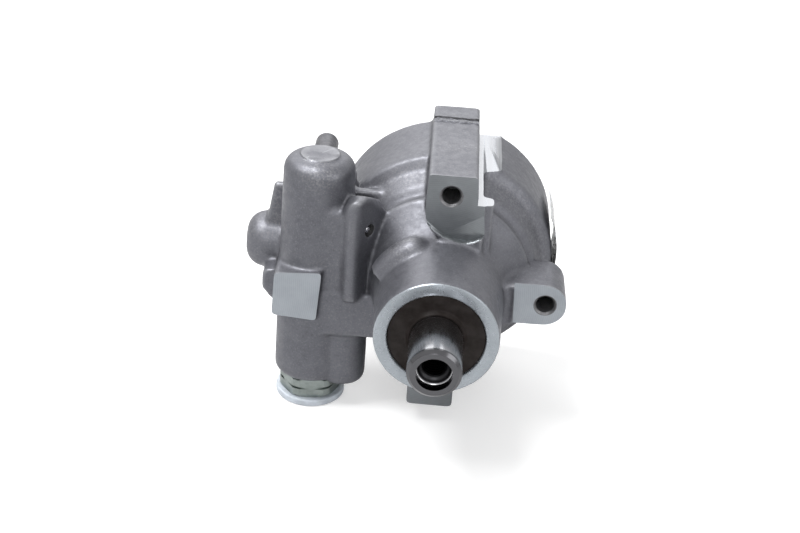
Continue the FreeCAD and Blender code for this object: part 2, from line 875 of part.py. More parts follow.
def housing():
    """The casting, machined."""
    cast = fused("casting", cast_shell())
    flat = prism_y("flat_cutter", rectangle(
        s.block_right + 0.6, s.body_radius, s.flat_height, s.body_radius + 2,
    ), s.mount_plane + 12, s.body_length + 1)
    tools = [
        front_bores(),
        rear_bores(),
        valve_bores(),
        flat,
        threaded_hole("top_hole", s.top_hole_across, s.top_hole_up),
        threaded_hole("right_hole", s.ear_across + 0.5, s.ear_up),
        *galleries(),
    ]
    return less("housing", cast, tools)


def drive_shaft():
    ring_start, plate_start, plate_end = stack()
    front = -s.shaft_reach
    thread_end = front + s.shaft_thread_depth
    cone = s.shaft_mouth_radius - s.shaft_thread_radius
    mouth = front + s.shaft_mouth_depth
    groove = plate_start + 0.1
    groove_end = groove + s.snap_ring_width
    groove_radius = s.spline_radius - s.snap_groove_depth
    tail = groove_end + s.shaft_tail
    return turned_y("drive_shaft", [
        (0, thread_end + 2),
        (s.drill_web, thread_end + 2),
        (s.shaft_thread_radius, thread_end),
        (s.shaft_thread_radius, mouth + cone),
        (s.shaft_mouth_radius, mouth),
        (s.shaft_mouth_radius, front),
        (s.shaft_radius - s.shaft_chamfer, front, 0.3),
        (s.shaft_radius, front + s.shaft_chamfer),
        (s.shaft_radius, 0),
        (s.journal_radius, 0.2),
        (s.journal_radius, ring_start - 1),
        (s.spline_radius, ring_start - 1),
        (s.spline_radius, groove),
        (groove_radius, groove),
        (groove_radius, groove_end),
        (s.spline_radius, groove_end),
        (s.spline_radius, tail - 1),
        (s.spline_radius - 1, tail),
        (0, tail),
    ])


def shaft_seal():
    """Rubber lip seal, with its dust lip at the front and its oil lip behind."""
    outer = s.seal_radius - s.seating_gap
    lip = s.journal_radius + s.running_gap
    groove = s.journal_radius + 1.6
    return turned_y("shaft_seal", [
        (outer, s.seal_recess, 0.5),
        (outer, s.seal_depth - 0.2),
        (outer - s.seal_wall, s.seal_depth - 0.2),
        (outer - s.seal_wall, s.seal_recess + 2.2, 0.8),
        (groove + 1.4, s.seal_recess + 2.0, 1.0),
        (groove + 0.2, s.seal_recess + 4.0),
        (groove, s.seal_depth - 1.6),
        (lip + 0.6, s.seal_depth - 1.6),
        (lip, s.seal_depth - 2.8),
        (lip + 0.7, s.seal_recess + 2.4),
        (lip + 0.7, s.seal_recess + 1.4),
        (lip, s.seal_recess - 0.5),
        (lip + 0.6, s.seal_recess - 0.7),
        (lip + 1.7, s.seal_recess + 0.7, 0.6),
    ])


def seal_garter_spring():
    radius = s.journal_radius + 1.6 + s.garter_wire + 0.08
    return ring_y("seal_garter_spring", radius, s.garter_wire, s.seal_depth - 2.6)


def shaft_bushing():
    inner = s.journal_radius + s.running_gap
    outer = inner + s.bushing_wall - s.sliding_gap
    start = s.bushing_start
    end = s.bushing_start + s.bushing_length
    return turned_y("shaft_bushing", [
        (inner + 0.3, start),
        (outer, start),
        (outer, end),
        (inner + 0.3, end),
        (inner, end - 0.6),
        (inner, start + 0.6),
    ])


def dowel_holes(name, front, back):
    """Both dowel holes through one plate."""
    radius = s.dowel_radius + s.sliding_gap
    return [
        cylinder_y(f"{name}_{side}_hole", radius, front - 1, back + 1, x=across)
        for side, across in (("left", -dowel_place), ("right", dowel_place))
    ]


def port_holes(name, front, back, first_angle):
    """Two ports through one plate, opposite each other."""
    tools = []
    for side in range(2):
        angle = math.radians(first_angle + 180 * side)
        tools.append(cylinder_y(f"{name}_port_{side + 1}", s.port_radius, front - 1, back + 1,
                                x=port_place * math.cos(angle),
                                z=port_place * math.sin(angle)))
    return tools


def thrust_plate():
    ring_start, plate_start, plate_end = stack()
    disc = turned_y("thrust_plate_disc", rectangle(
        s.journal_radius + 0.8, s.chamber_radius - s.seating_gap, s.chamber_start, ring_start,
    ))
    tools = dowel_holes("thrust_plate", s.chamber_start, ring_start)
    tools += port_holes("thrust_plate", s.chamber_start, ring_start, 40)
    return less("thrust_plate", disc, tools)


def pump_ring():
    """The ring whose oval track drives the vanes out and in twice a turn."""
    ring_start, plate_start, plate_end = stack()
    blank = cylinder_y("pump_ring_blank", s.chamber_radius - s.seating_gap, ring_start,
                       plate_start)
    oval = doc.addObject("Part::Ellipse", "cam_oval")
    bind(oval, MajorRadius=ring_major, MinorRadius=ring_minor)
    upright = Rotation(Vector(0, 0, 1), Vector(1, 0, 0), Vector(0, 1, 0), "ZXY")
    place(oval, y=ring_start - 1, turn=upright)
    track = doc.addObject("Part::Extrusion", "cam_track")
    track.Base = oval
    track.DirMode = "Custom"
    track.Dir = Vector(0, 1, 0)
    track.Solid = True
    bind(track, LengthFwd=s.pump_ring_width + 2)
    return less("pump_ring", blank, [track, *dowel_holes("pump_ring", ring_start, plate_start)])


def rotor():
    """The slotted rotor, with a round root under each vane."""
    ring_start, plate_start, plate_end = stack()
    front = ring_start + s.side_gap
    back = plate_start - s.side_gap
    body = turned_y("rotor_blank", rectangle(
        s.spline_radius + s.sliding_gap, rotor_radius, front, back,
    ))
    root = rotor_radius - vane_height - s.vane_spare
    half = s.vane_width / 2 + s.sliding_gap
    tools = []
    for number in range(VANES):
        turn = Rotation(Vector(0, -1, 0), 360 * number / VANES)
        slot = prism_y(f"slot_{number + 1}", rectangle(root, rotor_radius + 1, -half, half),
                       front - 1, back + 1)
        slot.Placement = FreeCAD.Placement(Vector(), turn)
        slot.setExpression("Placement.Base.y", (front - 1).text)
        direction = turn.multVec(Vector(1, 0, 0))
        hole = cylinder_y(f"slot_root_{number + 1}", s.slot_root_radius, front - 1, back + 1,
                          root * direction.x, root * direction.z)
        tools += [slot, hole]
    return less("rotor", body, tools)


def vane(number):
    """One vane, drawn in as far as the ring's narrowest place leaves it."""
    ring_start, plate_start, plate_end = stack()
    tip = rotor_radius
    blade = prism_y(f"vane_{number:02d}", [
        (tip - vane_height, -s.vane_width / 2),
        (tip, -s.vane_width / 2, s.vane_width * 0.45),
        (tip, s.vane_width / 2, s.vane_width * 0.45),
        (tip - vane_height, s.vane_width / 2),
    ], ring_start + 2 * s.side_gap, plate_start - 2 * s.side_gap)
    turn = Rotation(Vector(0, -1, 0), 360 * (number - 1) / VANES)
    blade.Placement = FreeCAD.Placement(Vector(), turn)
    blade.setExpression("Placement.Base.y", (ring_start + 2 * s.side_gap).text)
    return blade


def pressure_plate():
    ring_start, plate_start, plate_end = stack()
    disc = turned_y("pressure_plate_disc", [
        (s.spline_radius + 3, plate_start),
        (s.chamber_radius - s.seating_gap, plate_start),
        (s.chamber_radius - s.seating_gap, plate_end),
        (s.spline_radius + s.plate_dish, plate_end),
        (s.spline_radius + 3, plate_end - 1),
    ])
    tools = dowel_holes("pressure_plate", plate_start, plate_end)
    tools += port_holes("pressure_plate", plate_start, plate_end, -40)
    return less("pressure_plate", disc, tools)


def dowel_pins():
    """Two pins that line up the thrust plate, the ring and the pressure plate."""
    ring_start, plate_start, plate_end = stack()
    pins = [
        cylinder_y(f"{side}_dowel", s.dowel_radius, s.chamber_start + 0.5, plate_end - 0.5,
                   x=across)
        for side, across in (("left", -dowel_place), ("right", dowel_place))
    ]
    group = doc.addObject("Part::Compound", "dowel_pins")
    group.Links = pins
    return group


def pressure_plate_oring():
    ring_start, plate_start, plate_end = stack()
    radius = s.chamber_radius + s.plate_oring_wire
    centre = plate_start + 2 + 1.2 * s.plate_oring_wire
    return ring_y("pressure_plate_oring", radius, s.plate_oring_wire, centre)


def plate_spring():
    ring_start, plate_start, plate_end = stack()
    length = cover_start + s.cover_dish_depth - plate_end
    return coil("plate_spring", s.plate_spring_radius, s.plate_spring_wire, length,
                s.plate_spring_turns, y=plate_end + s.plate_spring_wire, turn=ALONG_Y)


def rotor_snap_ring():
    """Open ring in the shaft's groove that keeps the rotor on its splines."""
    ring_start, plate_start, plate_end = stack()
    inner = s.spline_radius - s.snap_groove_depth + s.sliding_gap
    start = plate_start + 0.1 + s.side_gap
    end = start + s.snap_ring_width - 2 * s.side_gap
    hoop = turned_y("snap_ring_hoop", rectangle(inner, inner + s.snap_ring_height, start, end))
    gap = prism_y("snap_ring_gap", rectangle(-s.snap_ring_height, s.snap_ring_height, 0,
                                             s.spline_radius + 5), start - 1, end + 1)
    return less("rotor_snap_ring", hoop, [gap])


def end_cover():
    """Dished steel cover that closes the housing's rear."""
    outer = cover_bore - s.seating_gap
    start = cover_start
    end = cover_start + s.cover_width
    return turned_y("end_cover", [
        (0, start + s.cover_dish_depth),
        (s.cover_dish_radius - 1, start + s.cover_dish_depth, 0.8),
        (s.cover_dish_radius + 1.5, start, 0.8),
        (outer - 1, start),
        (outer, start + 1),
        (outer, end),
        (outer - 3, end),
        (outer - 4.2, end - 1.2, 0.6),
        (s.cover_dish_radius + 4, end - 1.2, 2.0),
        (s.cover_dish_radius - 1, end + 0.8, 2.0),
        (0, end + 0.8),
    ])


def end_cover_oring():
    radius = cover_bore + s.cover_oring_wire
    return ring_y("end_cover_oring", radius, s.cover_oring_wire,
                  cover_start + 1.2 + 1.2 * s.cover_oring_wire)


def cover_retaining_ring():
    """Open wire ring that snaps into the groove behind the cover."""
    radius = cover_bore + 0.3 * s.cover_ring_wire
    turn = Rotation(Vector(0, -1, 0), 285) * Rotation(Vector(1, 0, 0), 90)
    return ring_y("cover_retaining_ring", radius, s.cover_ring_wire,
                  cover_start + s.cover_width + 1.05 * s.cover_ring_wire, 330, turn)


def flow_valve():
    """The spool: two lands, a waist, a cup for its spring and a bore for the relief valve."""
    low = -s.valve_rest
    high = low + s.valve_length
    land = s.valve_bore - s.running_gap
    neck_low = low + s.valve_neck_low
    neck_high = neck_low + s.valve_neck_length
    cup = high - s.valve_cup_depth
    return turned_z("flow_valve", [
        (s.relief_bore, low),
        (land - 0.6, low),
        (land, low + 0.6),
        (land, neck_low),
        (s.valve_neck_radius, neck_low),
        (s.valve_neck_radius, neck_high),
        (land, neck_high),
        (land, high - 0.6),
        (land - 0.6, high),
        (s.valve_cup_radius, high),
        (s.valve_cup_radius, cup),
        (0, cup),
        (0, low + s.relief_depth),
        (s.relief_bore, low + s.relief_depth - 0.8),
    ], x=-s.valve_across, y=s.valve_back)


def flow_valve_spring():
    low = s.valve_length - s.valve_rest - s.valve_cup_depth
    return coil("flow_valve_spring", s.valve_spring_radius, s.valve_spring_wire,
                s.valve_bore_top - low, s.valve_spring_turns, -s.valve_across, s.valve_back,
                low + s.valve_spring_wire)


def relief_seat():
    """Screwed seat at the spool's lower end, with a cone that the ball closes."""
    low = -s.valve_rest
    outer = s.relief_bore - s.sliding_gap
    top = low + s.relief_seat_length
    return turned_z("relief_seat", [
        (s.relief_hole, low + 0.1),
        (outer, low + 0.1),
        (outer, top),
        (s.relief_hole + 0.9, top),
        (s.relief_hole, top - 0.9),
    ], x=-s.valve_across, y=s.valve_back)


def ball_height():
    """Height of the relief ball's centre when it rests on its seat's 45 degree cone."""
    middle = s.relief_hole + 0.9
    return (s.relief_seat_length - s.valve_rest
            + s.relief_ball_radius * math.sqrt(2) - middle + 0.02)


def relief_ball():
    ball = doc.addObject("Part::Sphere", "relief_ball")
    bind(ball, Radius=s.relief_ball_radius)
    return place(ball, -s.valve_across, s.valve_back, ball_height())


def relief_spring():
    low = ball_height() + s.relief_ball_radius * 0.45
    high = s.relief_depth - s.valve_rest - 0.8
    return coil("relief_spring", s.relief_spring_radius, s.relief_spring_wire, high - low,
                s.relief_spring_turns, -s.valve_across, s.valve_back,
                low + s.relief_spring_wire)


def union_fitting():
    """Outlet union: hexagon below the barrel, thread and nozzle inside it."""
    top = -s.barrel_bottom
    collar = top - s.union_collar_height
    bottom = collar - s.hex_height
    inner_end = -s.valve_rest - s.sliding_gap
    thread = s.union_bore - s.sliding_gap
    nose_start = top + s.union_bore_depth
    mouth_end = bottom + s.union_mouth_depth
    stem = turned_z("union_stem", [
        (s.union_mouth, bottom),
        (s.hex_corner, bottom),
        (s.hex_corner, collar),
        (s.union_collar, collar),
        (s.union_collar, top),
        (thread, top),
        (thread, nose_start - 0.2),
        (s.union_nose, nose_start + 0.6),
        (s.union_nose, inner_end),
        (s.union_nozzle, inner_end),
        (s.union_nozzle, inner_end - s.union_nozzle_length),
        (s.union_way, inner_end - s.union_nozzle_length - 1.5),
        (s.union_way, mouth_end + 1.6),
        (s.union_mouth, mouth_end),
    ], x=-s.valve_across, y=s.valve_back)
    hexagon = doc.addObject("Part::Prism", "union_hexagon")
    hexagon.Polygon = 6
    bind(hexagon, Circumradius=s.hex_flats / math.sqrt(3), Height=s.hex_height)
    place(hexagon, -s.valve_across, s.valve_back, bottom,
          Rotation(Vector(0, 0, 1), s.hex_turn.value))
    shell = turned_z("union_shell", [
        (s.union_mouth - 1, bottom),
        (s.hex_corner - 0.9, bottom),
        (s.hex_corner, bottom + 0.7),
        (s.hex_corner, bottom + s.hex_height / 2 - s.hex_groove_width / 2),
        (s.hex_groove, bottom + s.hex_height / 2 - s.hex_groove_width / 2),
        (s.hex_groove, bottom + s.hex_height / 2 + s.hex_groove_width / 2),
        (s.hex_corner, bottom + s.hex_height / 2 + s.hex_groove_width / 2),
        (s.hex_corner, collar - 0.7),
        (s.hex_corner - 0.9, collar),
        (s.union_collar, collar),
        (s.union_collar, s.valve_rest),
        (s.union_mouth - 1, s.valve_rest),
    ], x=-s.valve_across, y=s.valve_back)
    bar = cylinder_z("union_bar", s.union_collar, collar - 0.01, s.valve_rest,
                     -s.valve_across, s.valve_back)
    envelope = fused("union_envelope", [hexagon, bar])
    core = cylinder_z("union_core", s.union_mouth, bottom, s.valve_rest,
                      -s.valve_across, s.valve_back)
    turned_shell = fused("union_turned_shell", [shell, core])
    return shared("union_fitting", [stem, envelope, turned_shell])


def union_oring():
    hoop = doc.addObject("Part::Torus", "union_oring")
    bind(hoop, Radius1=s.union_bore + s.union_ring_wire, Radius2=s.union_ring_wire)
    return place(hoop, -s.valve_across, s.valve_back, -s.barrel_bottom + s.union_ring_wire)


def shipping_cap():
    """Plastic cap pushed into the outlet union."""
    top = -s.barrel_bottom - s.union_collar_height - s.hex_height
    bottom = top - s.cap_height
    stem = top + s.cap_stem_length
    return turned_z("shipping_cap", [
        (0, bottom + 1.4),
        (s.cap_stem - s.cap_wall, bottom + 1.4, 0.5),
        (s.cap_stem - s.cap_wall + 0.6, bottom, 0.5),
        (s.cap_radius, bottom, 0.7),
        (s.cap_radius, top, 0.7),
        (s.cap_stem, top),
        (s.cap_stem - 0.3, stem, 0.4),
        (s.cap_stem - s.cap_wall, stem, 0.4),
        (s.cap_stem - s.cap_wall, top - s.cap_height + 2.9),
        (0, top - s.cap_height + 2.9),
    ], x=-s.valve_across, y=s.valve_back)


def ball_plug():
    """Steel ball pressed into the end of the cross drilling."""
    along, normal = pillar_normal()
    ball = doc.addObject("Part::Sphere", "ball_plug")
    bind(ball, Radius=s.plug_radius - s.sliding_gap / 2)
    ball.Placement.Base = plug_point() - normal * s.plug_recess.value
    return ball


def return_tube():
    inner = s.tube_radius - s.tube_wall
    shoulder = s.tube_boss_end + s.seating_gap
    return turned_y("return_tube", [
        (inner, s.tube_seat + s.seating_gap),
        (s.tube_spigot, s.tube_seat + s.seating_gap),
        (s.tube_spigot, shoulder),
        (s.tube_radius, shoulder),
        (s.tube_radius, s.tube_end - 0.6),
        (s.tube_radius - 0.5, s.tube_end),
        (inner, s.tube_end),
    ], x=-s.tube_across, z=s.tube_up)


def label():
    """Bare label on the right of the body: its foot lies on the curve, its top stands off."""
    inner = s.body_radius + s.label_slack
    turn = Rotation(Vector(0, -1, 0), -s.label_half_sweep.value) * Rotation(Vector(1, 0, 0), 90)
    where = {"x": s.label_shift, "z": s.label_lift}
    back = s.label_start + s.label_length
    film = doc.addObject("Part::Cylinder", "label_film")
    bind(film, Radius=inner + s.label_thick, Height=s.label_length,
         Angle=2 * s.label_half_sweep)
    place(film, y=back, turn=turn, **where)
    inside = cylinder_y("label_inside", inner, s.label_start - 1, back + 1, **where)
    return less("label", film, [inside])


def build():
    """Makes every sub-part and returns them by name."""
    makers = [
        housing, drive_shaft, shaft_seal, seal_garter_spring, shaft_bushing, thrust_plate,
        pump_ring, rotor, pressure_plate, dowel_pins, pressure_plate_oring, plate_spring,
        rotor_snap_ring, end_cover, end_cover_oring, cover_retaining_ring, flow_valve,
        flow_valve_spring, relief_seat, relief_ball, relief_spring, union_fitting,
        union_oring, shipping_cap, ball_plug, return_tube, label,
    ]
    subparts = {}
    for maker in makers:
        subparts[maker.__name__] = maker()
    for number in range(1, VANES + 1):
        subparts[f"vane_{number:02d}"] = vane(number)
    for name, thing in subparts.items():
        thing.Label = name
    return subparts


def check(subparts):
    """Stops if any object failed or any sub-part has no sound shape."""
    for thing in doc.Objects:
        failed = {"Invalid", "Error"} & set(thing.State)
        if failed:
            raise RuntimeError(f"{thing.Name} is {sorted(failed)}")
    for name, thing in subparts.items():
        shape = thing.Shape
        if shape.isNull() or not shape.isValid() or not shape.Solids:
            raise RuntimeError(f"{name} has no sound shape")


def main():
    subparts = build()
    doc.recompute()
    check(subparts)
    os.makedirs("parts", exist_ok=True)
    for name, thing in subparts.items():
        thing.Shape.exportStep(f"parts/{name}.step")
        print(name, len(thing.Shape.Solids), round(thing.Shape.Volume, 1))


main()
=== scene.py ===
import math

import bmesh
import bpy
from mathutils import Matrix, Vector, noise


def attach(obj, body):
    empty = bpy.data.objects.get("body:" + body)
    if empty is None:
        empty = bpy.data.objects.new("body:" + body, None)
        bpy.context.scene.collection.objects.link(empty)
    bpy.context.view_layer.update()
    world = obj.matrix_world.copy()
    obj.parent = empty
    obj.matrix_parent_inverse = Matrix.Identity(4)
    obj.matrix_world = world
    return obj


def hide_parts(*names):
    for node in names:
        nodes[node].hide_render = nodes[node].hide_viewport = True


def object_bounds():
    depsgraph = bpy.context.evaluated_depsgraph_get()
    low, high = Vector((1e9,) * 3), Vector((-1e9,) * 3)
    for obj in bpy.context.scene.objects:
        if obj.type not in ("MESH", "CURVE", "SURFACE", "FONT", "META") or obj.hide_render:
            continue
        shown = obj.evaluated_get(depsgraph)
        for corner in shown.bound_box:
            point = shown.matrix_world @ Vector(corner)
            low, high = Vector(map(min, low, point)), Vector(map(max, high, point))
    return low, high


# Sizes and places are in mm, in the frame of the CAD.
MM = 0.001
MOUNT_PLANE = 31.3
FLAT_HEIGHT = 37.9
REAR_FACE = 94.4
SEAL_BORE = 19
PUMP_BORE = 34.2
COVER_BORE = 37.1
COVER_START = 79
BARREL = (-47.3, 47.5)
DISC_RADIUS = 7.3
DISC_TOP = 46.0
BALL_PLUG = (-29.25, 38.24, 21.5)
PILLAR_FACE = (0.826, -0.563, 0)
TOP_HOLE = (1.3, 40.7)
EAR_HOLE = (39.3, -0.6)
THREAD_CORE = 3.4
THREAD_MAJOR = 3.98
THREAD_PITCH = 1.25
LABEL_BREAK = 11.0

# How the mould rounds the casting, and what is left on it for machining.
GRID = 0.79
BLEND_ROUNDS = 8
FRONT_ALLOWANCE = 2.5
ALLOWANCE = 2.0

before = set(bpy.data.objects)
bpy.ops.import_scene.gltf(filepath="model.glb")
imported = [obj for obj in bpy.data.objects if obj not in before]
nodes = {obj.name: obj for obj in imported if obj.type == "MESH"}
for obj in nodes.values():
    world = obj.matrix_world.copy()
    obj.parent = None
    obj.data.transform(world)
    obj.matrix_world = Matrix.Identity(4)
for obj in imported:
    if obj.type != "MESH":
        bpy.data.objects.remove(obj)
cad_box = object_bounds()


# --- camera and light ---------------------------------------------------------------------------

def add_camera():
    """The photograph's view: from the front, above and a little to the left of the shaft."""
    fall = math.radians(28.935)
    swing = math.radians(-0.929)
    lean = math.radians(4.299)
    ahead = Vector((math.sin(swing) * math.cos(fall), math.cos(swing) * math.cos(fall),
                    -math.sin(fall)))
    level = Vector((math.cos(swing), -math.sin(swing), 0))
    upward = level.cross(ahead)
    across = level * math.cos(lean) + upward * math.sin(lean)
    above = upward * math.cos(lean) - level * math.sin(lean)
    data = bpy.data.cameras.new("photo_camera")
    data.sensor_fit = "HORIZONTAL"
    data.sensor_width = 36
    data.lens = 68.43
    data.clip_start = 0.01
    camera = bpy.data.objects.new("photo_camera", data)
    bpy.context.scene.collection.objects.link(camera)
    turn = Matrix((across, above, -ahead)).transposed().to_4x4()
    camera.matrix_world = Matrix.Translation(Vector((-7.209, -454.80, 279.48)) * MM) @ turn
    bpy.context.scene.camera = camera


def lamp(name, place, aim, size, power):
    """A white softbox. Its place, aim and size are in metres."""
    data = bpy.data.lights.new(name, "AREA")
    data.shape = "RECTANGLE"
    data.size, data.size_y = size
    data.energy = power
    light = bpy.data.objects.new(name, data)
    light.location = place
    light.rotation_euler = (Vector(aim) - Vector(place)).to_track_quat("-Z", "Y").to_euler()
    bpy.context.scene.collection.objects.link(light)


def add_floor():
    """Pale floor under the part, which keeps its shadow."""
    low = cad_box[0][2]
    bpy.ops.mesh.primitive_plane_add(size=6, location=(0, 0, low - 0.2 * MM))
    floor = bpy.context.object
    floor.name = "floor"
    look = Look("floor_white", 0, 0.85)
    path = look.add("ShaderNodeLightPath")
    look.base((0.7, 0.7, 0.7, 1))
    look.shader.inputs["Emission Color"].default_value = (1, 1, 1, 1)
    look.link(look.maths("MULTIPLY", path.outputs["Is Camera Ray"], 0.42),
              look.shader.inputs["Emission Strength"])
    floor.data.materials.append(look.material)


def add_world():
    """White where it is seen, straight or in metal, and at half strength as a light."""
    world = bpy.data.worlds.new("studio_world")
    world.use_nodes = True
    tree = world.node_tree
    back = tree.nodes["Background"]
    back.inputs[0].default_value = (1, 1, 1, 1)
    path = tree.nodes.new("ShaderNodeLightPath")
    seen = path.outputs["Is Camera Ray"]
    for kind in ("Is Glossy Ray", "Is Transmission Ray"):
        either = tree.nodes.new("ShaderNodeMath")
        either.operation = "MAXIMUM"
        tree.links.new(seen, either.inputs[0])
        tree.links.new(path.outputs[kind], either.inputs[1])
        seen = either.outputs[0]
    power = tree.nodes.new("ShaderNodeMapRange")
    tree.links.new(seen, power.inputs["Value"])
    power.inputs["To Min"].default_value = 0.5
    power.inputs["To Max"].default_value = 1.0
    tree.links.new(power.outputs[0], back.inputs[1])
    bpy.context.scene.world = world


def add_lamps():
    lamp("key", (-0.45, 0.0, 1.0), (0, 0.03, 0), (0.6, 0.6), 15)
    lamp("back_box", (-0.25, 1.0, 0.66), (0, 0.03, 0.01), (1.3, 0.6), 5.5)
    lamp("front_box", (-0.02, -0.95, 0.64), (0, 0.03, 0.01), (0.34, 0.34), 2.6)
    lamp("fill", (0.7, -0.5, 0.4), (0, 0.03, 0), (0.5, 0.5), 2)


# --- materials ----------------------------------------------------------------------------------

class Look:
    """One procedural material, built on its own Principled shader."""

    def __init__(self, name, metallic, roughness):
        self.material = bpy.data.materials.new(name)
        self.material.use_nodes = True
        self.tree = self.material.node_tree
        self.shader = self.tree.nodes["Principled BSDF"]
        self.shader.inputs["Metallic"].default_value = metallic
        self.shader.inputs["Roughness"].default_value = roughness
        self.place = self.add("ShaderNodeTexCoord").outputs["Object"]

    def add(self, kind):
        return self.tree.nodes.new(kind)

    def link(self, source, target):
        self.tree.links.new(source, target)

    def feed(self, value, target):
        if isinstance(value, bpy.types.NodeSocket):
            self.link(value, target)
        else:
            target.default_value = value

    def base(self, value):
        self.feed(value, self.shader.inputs["Base Color"])

    def maths(self, operation, first, second):
        node = self.add("ShaderNodeMath")
        node.operation = operation
        self.feed(first, node.inputs[0])
        self.feed(second, node.inputs[1])
        return node.outputs[0]

    def stretched(self, factors):
        node = self.add("ShaderNodeMapping")
        self.link(self.place, node.inputs["Vector"])
        node.inputs["Scale"].default_value = factors
        return node.outputs[0]

    def grain(self, scale, detail=2.0, rough=0.5, where=None):
        node = self.add("ShaderNodeTexNoise")
        self.link(where or self.place, node.inputs["Vector"])
        node.inputs["Scale"].default_value = scale
        node.inputs["Detail"].default_value = detail
        node.inputs["Roughness"].default_value = rough
        return node.outputs["Fac"]

    def spread(self, value, low, high, to_low=0.0, to_high=1.0):
        """The value's range from low to high, drawn out between two other numbers."""
        node = self.add("ShaderNodeMapRange")
        self.link(value, node.inputs["Value"])
        node.inputs["From Min"].default_value = low
        node.inputs["From Max"].default_value = high
        node.inputs["To Min"].default_value = to_low
        node.inputs["To Max"].default_value = to_high
        return node.outputs[0]

    def blend(self, factor, first, second):
        """From the first colour to the second as the factor grows."""
        node = self.add("ShaderNodeMix")
        node.data_type = "RGBA"
        self.feed(factor, node.inputs["Factor"])
        self.feed(first, node.inputs[6])
        self.feed(second, node.inputs[7])
        return node.outputs[2]

    def near(self, spot, reach):
        """From 1 at a spot on the part, in mm, down to 0 at the reach."""
        node = self.add("ShaderNodeVectorMath")
        node.operation = "DISTANCE"
        self.link(self.place, node.inputs[0])
        node.inputs[1].default_value = [c * MM for c in spot]
        return self.spread(node.outputs["Value"], reach * MM, 0.35 * reach * MM)

    def along(self, index):
        """The place on the part along x, y or z, by its index."""
        node = self.add("ShaderNodeSeparateXYZ")
        self.link(self.place, node.inputs[0])
        return node.outputs[index]

    def coarse(self):
        """Where the mould has worn: the flare's rise, the rib and the barrel's shoulder."""
        y = self.along(1)
        rise = self.maths("MULTIPLY", self.spread(y, 50 * MM, 54 * MM),
                          self.spread(y, 63 * MM, 59 * MM))
        both = self.maths("MAXIMUM", self.near((-15, 26, 22), 10), self.near((-46.5, 37, 43), 9))
        return self.maths("MAXIMUM", self.maths("MULTIPLY", rise, 0.6), both)

    def rough(self, value):
        self.link(value, self.shader.inputs["Roughness"])

    def bump(self, layers):
        """Each layer is (height, distance in mm, strength), the coarsest first."""
        normal = None
        for height, distance, strength in layers:
            node = self.add("ShaderNodeBump")
            node.inputs["Distance"].default_value = distance * MM
            node.inputs["Strength"].default_value = strength
            self.link(height, node.inputs["Height"])
            if normal is not None:
                self.link(normal, node.inputs["Normal"])
            normal = node.outputs[0]
        self.link(normal, self.shader.inputs["Normal"])


def cast_look():
    """As-cast aluminium: satin grey with a fine grain, painted highlight on edges, painted shade
    in hollows.
    """
    look = Look("cast_aluminium_look", 0.72, 0.5)
    broad = look.grain(38, 4.0, 0.6)
    speckle = look.grain(1500, 2.0, 0.6)
    patches = look.grain(240, 3.0, 0.6)
    tone = look.blend(look.spread(broad, 0.35, 0.65), (0.104, 0.106, 0.121, 1),
                      (0.13, 0.132, 0.148, 1))
    tone = look.blend(look.spread(patches, 0.3, 0.7, 0.0, 0.3), tone, (0.16, 0.162, 0.178, 1))
    tone = look.blend(look.spread(speckle, 0.55, 0.72, 0.0, 0.35), tone, (0.23, 0.232, 0.246, 1))
    tone = look.blend(look.spread(speckle, 0.42, 0.3, 0.0, 0.4), tone, (0.075, 0.076, 0.084, 1))
    coarse = look.coarse()
    flecks = look.spread(look.grain(1100, 2.0, 0.7), 0.46, 0.66)
    tone = look.blend(look.maths("MULTIPLY", flecks, look.maths("MULTIPLY", coarse, 0.5)), tone,
                      (0.27, 0.27, 0.28, 1))
    edge = look.add("ShaderNodeNewGeometry").outputs["Pointiness"]
    # Painted highlight: paler along convex edges.
    tone = look.blend(look.spread(edge, 0.51, 0.56, 0.0, 0.45), tone, (0.32, 0.325, 0.34, 1))
    # Painted shade: near black in concave hollows and creases.
    tone = look.blend(look.spread(edge, 0.49, 0.44, 0.0, 0.7), tone, (0.05, 0.05, 0.055, 1))
    look.base(tone)
    look.rough(look.spread(look.grain(420, 3.0), 0.3, 0.7, 0.4, 0.56))
    pits = look.maths("MULTIPLY", look.grain(700, 3.0, 0.7), coarse)
    look.bump([(look.grain(330, 3.0, 0.6), 0.1, 0.3), (look.grain(1700, 2.0, 0.6), 0.05, 0.3),
               (pits, 0.14, 0.35)])
    return look.material


def milled_look(name, dark, pale):
    """Face-milled pad, with faint cutter arcs."""
    look = Look(name, 0.8, 0.34)
    arcs = look.add("ShaderNodeTexWave")
    arcs.wave_type = "RINGS"
    arcs.rings_direction = "Y"
    look.link(look.place, arcs.inputs["Vector"])
    arcs.inputs["Scale"].default_value = 420
    arcs.inputs["Distortion"].default_value = 1.5
    arcs.inputs["Detail Scale"].default_value = 2.0
    cloud = look.grain(90, 3.0, 0.6)
    tone = look.blend(look.spread(cloud, 0.3, 0.7), (*dark, 1), (*pale, 1))
    line = tuple(1.35 * channel for channel in pale)
    tone = look.blend(look.maths("MULTIPLY", arcs.outputs["Fac"], 0.16), tone, (*line, 1))
    look.base(tone)
    look.rough(look.spread(look.grain(700, 2.0), 0.3, 0.7, 0.28, 0.42))
    look.bump([(arcs.outputs["Fac"], 0.012, 0.5)])
    return look.material


